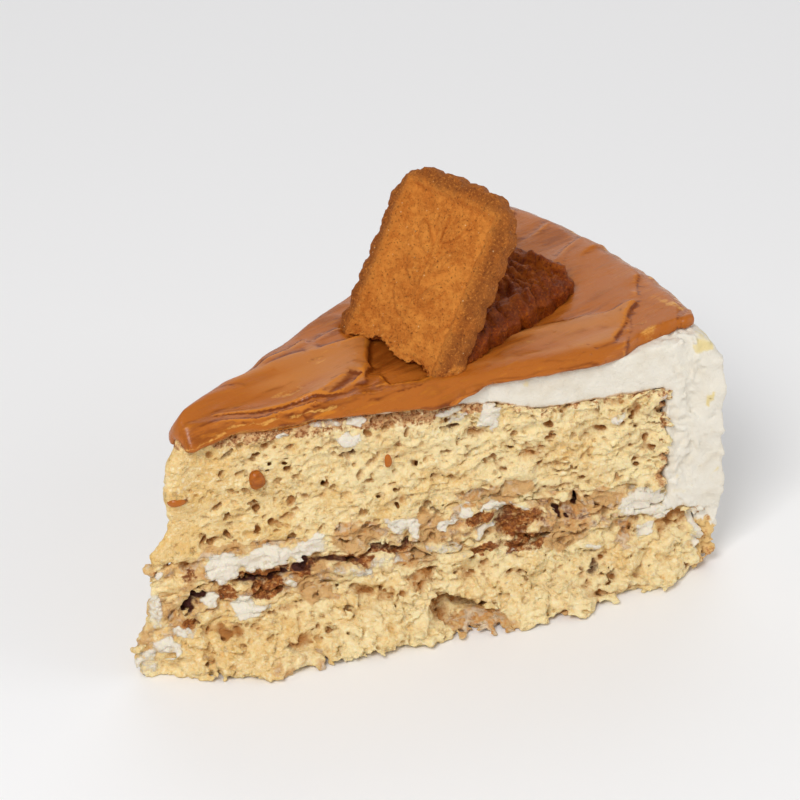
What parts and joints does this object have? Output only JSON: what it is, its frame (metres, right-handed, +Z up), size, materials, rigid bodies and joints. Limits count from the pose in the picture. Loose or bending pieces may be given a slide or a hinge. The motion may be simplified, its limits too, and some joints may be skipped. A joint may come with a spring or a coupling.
{
  "type": "speculoos tres leches cake slice",
  "caption": "Wedge slice of layered milk-soaked sponge cake with cream, a biscuit filling, a caramel-brown spread and broken biscuits on top.",
  "frame": {"origin": "centre of the slice's bounding box, at its base", "axes": "+X from the slice's tip to its rim, +Y away from the cut shown in the picture, +Z up"},
  "size_m": [0.1462, 0.0914, 0.1032],
  "materials": {
    "sponge": "moist open crumb, pale yellow, browned along its crust",
    "cream": "soft whipped cream, off-white",
    "soaked_crumb": "soaked biscuit crumb, brown, uneven",
    "spread": "caramel brown, satin to glossy",
    "biscuit": "dry baked biscuit, fine grained, orange brown",
    "coated_biscuit": "biscuit under a film of spread, dark brown, satin"
  },
  "bodies": {
    "root": {"bottom_sponge": "sponge", "lower_cream": "cream", "biscuit_crumb": "soaked_crumb", "upper_cream": "cream", "top_sponge": "sponge", "cream_coat": "cream", "speculoos_spread": "spread", "standing_biscuit": "biscuit", "lying_biscuit": "coated_biscuit"}
  },
  "joints": []
}
